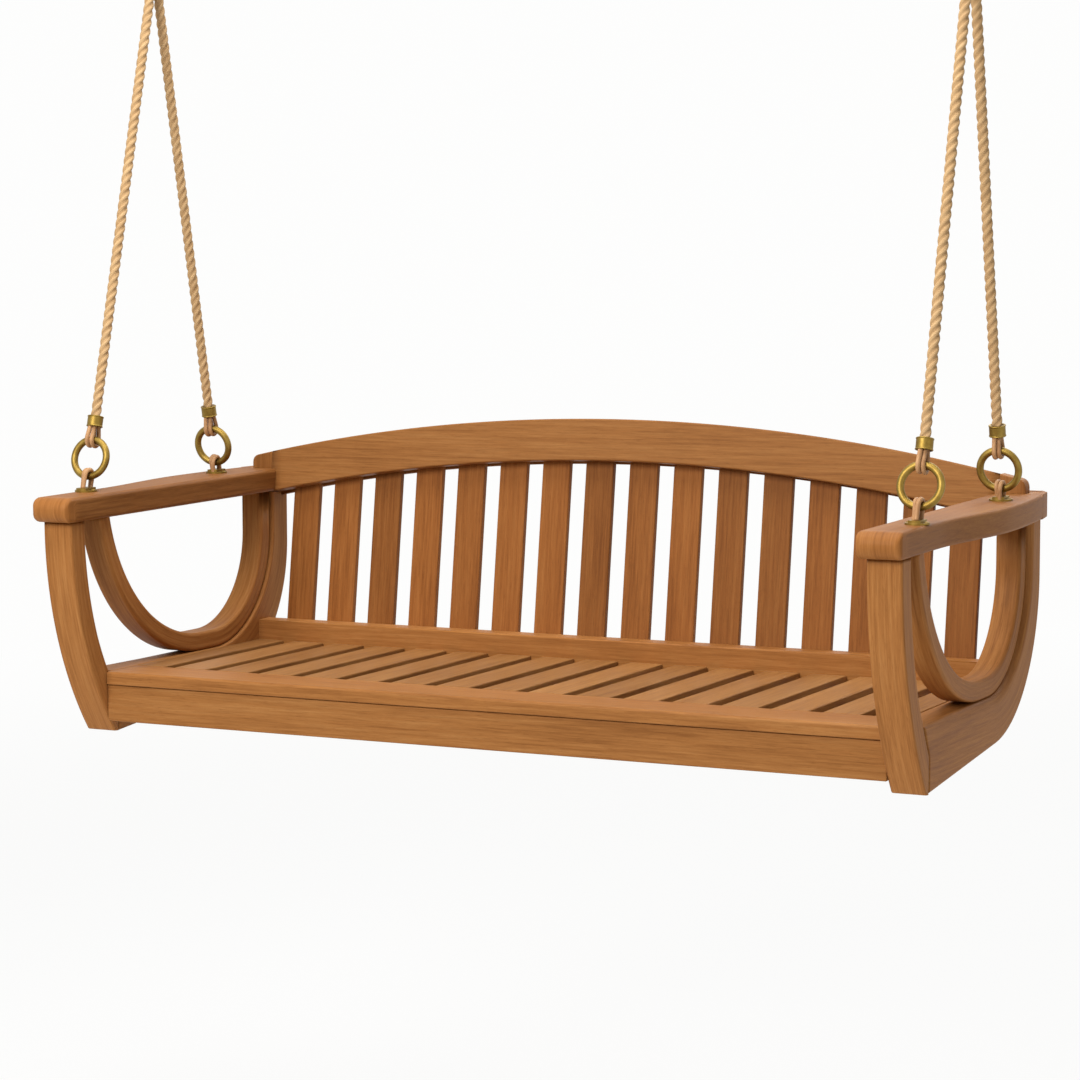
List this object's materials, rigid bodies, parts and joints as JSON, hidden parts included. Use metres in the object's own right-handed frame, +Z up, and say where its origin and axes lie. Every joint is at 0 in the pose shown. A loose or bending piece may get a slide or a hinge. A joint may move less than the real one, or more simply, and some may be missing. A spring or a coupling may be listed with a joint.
{
  "type": "hanging swing bench",
  "caption": "Wooden porch swing bench with slatted seat, arched slatted back and bowed arms, hung on ropes with rings from two ceiling hooks.",
  "frame": {"origin": "on the ceiling, midway between the two ceiling plates, at the centre of their four screw holes", "axes": "+X along the bench towards the right end as seen from in front, +Y to the back of the bench, +Z up"},
  "size_m": [1.5758, 0.7607, 1.4276],
  "materials": {
    "teak": "satin oiled",
    "dowel_wood": "plain",
    "aged_brass": "aged, satin",
    "tan_leather": "matte",
    "rope_fibre": "three-strand twisted natural fibre"
  },
  "bodies": {
    "ceiling_mounts": {"ceiling_plates": "aged_brass", "ceiling_hooks": "aged_brass"},
    "left_hanger": {"top_ring_left": "aged_brass"},
    "right_hanger": {"top_ring_right": "aged_brass"},
    "left_ropes": {"top_eye_left": "tan_leather", "rope_clamp_left": "aged_brass", "rope_front_left": "rope_fibre", "rope_rear_left": "rope_fibre", "ferrules_left": "aged_brass", "rope_eyes_left": "tan_leather", "ring_front_left": "aged_brass", "ring_rear_left": "aged_brass"},
    "right_ropes": {"top_eye_right": "tan_leather", "rope_clamp_right": "aged_brass", "rope_front_right": "rope_fibre", "rope_rear_right": "rope_fibre", "ferrules_right": "aged_brass", "rope_eyes_right": "tan_leather", "ring_front_right": "aged_brass", "ring_rear_right": "aged_brass"},
    "bench": {"back_slat_01": "teak", "back_slat_02": "teak", "back_slat_03": "teak", "back_slat_04": "teak", "back_slat_05": "teak", "back_slat_06": "teak", "back_slat_07": "teak", "back_slat_08": "teak", "back_slat_09": "teak", "back_slat_10": "teak", "back_slat_11": "teak", "back_slat_12": "teak", "back_slat_13": "teak", "back_slat_14": "teak", "back_slat_15": "teak", "back_slat_16": "teak", "front_leg_left": "teak", "front_leg_right": "teak", "side_bow_left": "teak", "side_bow_right": "teak", "arm_hoop_left": "teak", "arm_hoop_right": "teak", "armrest_left": "teak", "armrest_right": "teak", "seat_front_board": "teak", "front_apron": "teak", "seat_slats": "teak", "seat_end_boards": "teak", "seat_front_ledger": "teak", "seat_mid_rail": "teak", "seat_back_rail": "teak", "back_bottom_rail": "teak", "back_top_rail": "teak", "back_cap_strip": "teak", "frame_dowels": "dowel_wood", "arm_plates": "aged_brass", "plate_screws": "aged_brass", "arm_loops_left": "tan_leather", "arm_loops_right": "tan_leather"}
  },
  "joints": [
    {"name": "swing", "type": "hinge", "parent": "ceiling_mounts", "child": "left_hanger", "pos_m": [-0.742, 0, -0.061], "axis": [1, 0, 0], "range_deg": [-25, 25]},
    {"name": "swing_right", "type": "hinge", "parent": "ceiling_mounts", "child": "right_hanger", "pos_m": [0.742, 0, -0.061], "axis": [1, 0, 0], "range_deg": [-25, 25]},
    {"name": "sway", "type": "hinge", "parent": "left_hanger", "child": "left_ropes", "pos_m": [-0.742, -0.0013, -0.08496], "axis": [0, 0.9985, -0.0541], "range_deg": [-8, 8]},
    {"name": "sway_right", "type": "hinge", "parent": "right_hanger", "child": "right_ropes", "pos_m": [0.742, -0.0013, -0.08496], "axis": [0, 0.9985, -0.0541], "range_deg": [-8, 8]},
    {"name": "bench_level", "type": "hinge", "parent": "left_ropes", "child": "bench", "pos_m": [-0.742, -0.04929, -0.97117], "axis": [0, 0.9985, -0.0541], "range_deg": [-8, 8]}
  ],
  "couplings": [
    {"joint": "swing_right", "follows": "swing", "ratio": 1},
    {"joint": "sway_right", "follows": "sway", "ratio": 1},
    {"joint": "bench_level", "follows": "sway", "ratio": -1}
  ]
}
